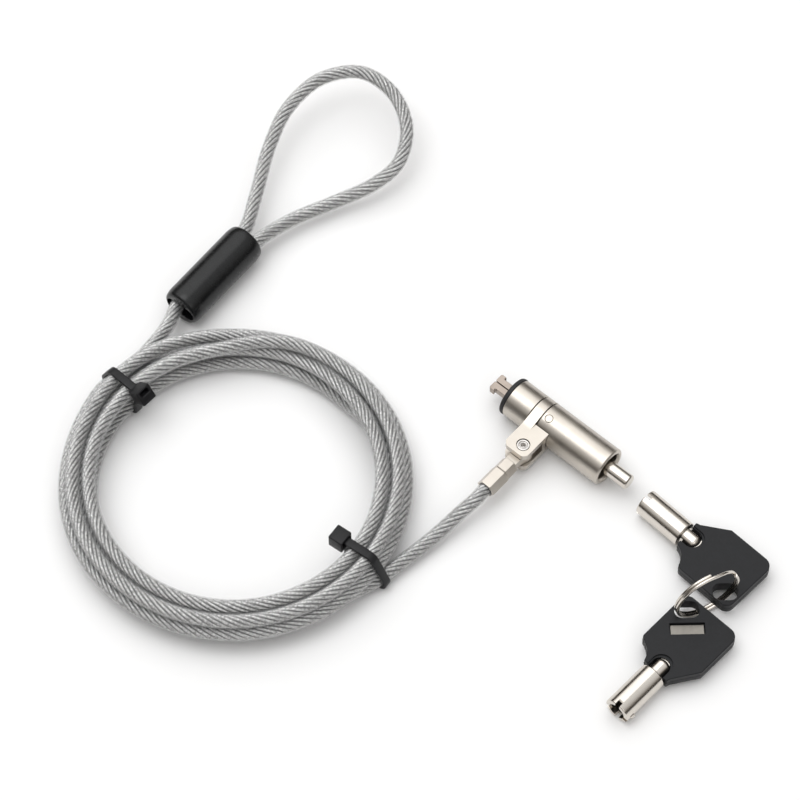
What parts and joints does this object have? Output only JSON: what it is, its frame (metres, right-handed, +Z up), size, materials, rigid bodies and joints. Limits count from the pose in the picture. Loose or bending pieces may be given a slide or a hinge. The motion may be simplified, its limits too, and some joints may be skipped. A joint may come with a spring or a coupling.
{
  "type": "laptop cable lock",
  "caption": "Push-to-lock slot lock on a looped, jacketed steel cable wound in a tied coil, with tubular keys on a split ring.",
  "frame": {"origin": "centre of the bottom of the box round the lock head, its ferrule and the keys (the cable left out), on the surface that the lock lies on", "axes": "+X along the lock's axis from the nose hook to the rear button, +Y away from the cable's exit, +Z up"},
  "size_m": [0.2148, 0.1817, 0.0205],
  "materials": {
    "clear_jacket": "clear PVC jacket over bright six-strand steel rope",
    "black_nylon": "moulded black nylon",
    "black_sleeve": "smooth black vinyl sleeve, semi-gloss",
    "crimp_aluminium": "plain pressed aluminium",
    "satin_nickel": "satin nickel plating on turned and cast metal",
    "warm_nickel": "plain nickel-plated stamping, slightly warm",
    "pin_steel": "ground steel pins and spring wire",
    "black_rubber": "matt black rubber",
    "black_plastic": "fine-textured moulded black plastic",
    "plate_steel": "brushed blank code plate"
  },
  "bodies": {
    "cable": {"cable_coil": "clear_jacket", "cable_lead": "clear_jacket", "cable_tail": "clear_jacket", "cable_eye": "clear_jacket", "loop_crimp": "crimp_aluminium", "loop_sleeve": "black_sleeve", "cable_tie_upper": "black_nylon", "cable_tie_lower": "black_nylon", "end_ferrule": "satin_nickel"},
    "collar": {"swivel_collar": "satin_nickel", "clevis_rivet": "pin_steel"},
    "head": {"front_shell": "satin_nickel", "rear_shell": "satin_nickel", "nose_pad": "black_rubber", "shell_dowel": "pin_steel", "jaw_pin_left": "pin_steel", "jaw_pin_right": "pin_steel", "return_spring": "pin_steel"},
    "jaw_left": {"jaw_left": "warm_nickel"},
    "jaw_right": {"jaw_right": "warm_nickel"},
    "plunger": {"plunger_carrier": "warm_nickel", "spreader_blade": "warm_nickel"},
    "core": {"lock_core": "satin_nickel", "pin_spring_1": "pin_steel", "pin_spring_2": "pin_steel", "pin_spring_3": "pin_steel", "pin_spring_4": "pin_steel"},
    "tumbler_pin_1": {"tumbler_pin_1": "pin_steel"},
    "tumbler_pin_2": {"tumbler_pin_2": "pin_steel"},
    "tumbler_pin_3": {"tumbler_pin_3": "pin_steel"},
    "tumbler_pin_4": {"tumbler_pin_4": "pin_steel"},
    "key_ring": {"key_ring": "satin_nickel"},
    "key_1": {"key_barrel_1": "satin_nickel", "key_bow_1": "black_plastic", "code_plate_1": "plate_steel"},
    "key_2": {"key_barrel_2": "satin_nickel", "key_bow_2": "black_plastic", "code_plate_2": "plate_steel"}
  },
  "joints": [
    {"name": "lug_pivot", "type": "hinge", "parent": "cable", "child": "collar", "pos_m": [-0.0312, 0.0126, 0.0065], "axis": [0, 0, 1], "range_deg": [-85, 85]},
    {"name": "collar_swivel", "type": "hinge", "parent": "collar", "child": "head", "pos_m": [-0.0443, 0.0249, 0.0065], "axis": [1, 0, 0], "continuous": true},
    {"name": "button_press", "type": "slide", "parent": "head", "child": "plunger", "axis": [-1, 0, 0], "range_m": [0, 0.0045], "stiffness_N_per_m": 600, "springref_m": -0.003, "deforming": ["return_spring"]},
    {"name": "jaw_left_spread", "type": "hinge", "parent": "head", "child": "jaw_left", "pos_m": [-0.0333, 0.02635, 0.0065], "axis": [0, 0, -1], "range_deg": [0, 2.6]},
    {"name": "jaw_right_spread", "type": "hinge", "parent": "head", "child": "jaw_right", "pos_m": [-0.0333, 0.02345, 0.0065], "axis": [0, 0, 1], "range_deg": [0, 2.6]},
    {"name": "core_turn", "type": "hinge", "parent": "plunger", "child": "core", "pos_m": [-0.0227, 0.0249, 0.0065], "axis": [1, 0, 0], "range_deg": [0, 60]},
    {"name": "tumbler_pin_1_push", "type": "slide", "parent": "core", "child": "tumbler_pin_1", "axis": [-1, 0, 0], "range_m": [0, 0.0014], "stiffness_N_per_m": 60, "springref_m": -0.001, "deforming": ["pin_spring_1"]},
    {"name": "tumbler_pin_2_push", "type": "slide", "parent": "core", "child": "tumbler_pin_2", "axis": [-1, 0, 0], "range_m": [0, 0.0014], "stiffness_N_per_m": 60, "springref_m": -0.001, "deforming": ["pin_spring_2"]},
    {"name": "tumbler_pin_3_push", "type": "slide", "parent": "core", "child": "tumbler_pin_3", "axis": [-1, 0, 0], "range_m": [0, 0.0014], "stiffness_N_per_m": 60, "springref_m": -0.001, "deforming": ["pin_spring_3"]},
    {"name": "tumbler_pin_4_push", "type": "slide", "parent": "core", "child": "tumbler_pin_4", "axis": [-1, 0, 0], "range_m": [0, 0.0014], "stiffness_N_per_m": 60, "springref_m": -0.001, "deforming": ["pin_spring_4"]},
    {"name": "key_ring_lift", "type": "slide", "parent": "cable", "child": "key_ring", "axis": [0, 0, 1], "range_m": [0, 0.05]},
    {"name": "key_1_on_ring", "type": "hinge", "parent": "key_ring", "child": "key_1", "pos_m": [0.0384, 0.0101, 0.0104], "axis": [0.9272, -0.3746, 0], "range_deg": [0, 60]},
    {"name": "key_2_on_ring", "type": "hinge", "parent": "key_ring", "child": "key_2", "pos_m": [0.0384, 0.0101, 0.0104], "axis": [-0.9272, 0.3746, 0], "range_deg": [0, 60]}
  ],
  "couplings": [
    {"joint": "jaw_left_spread", "follows": "button_press", "rad_per_m": 10.045},
    {"joint": "jaw_right_spread", "follows": "button_press", "rad_per_m": 10.045}
  ]
}
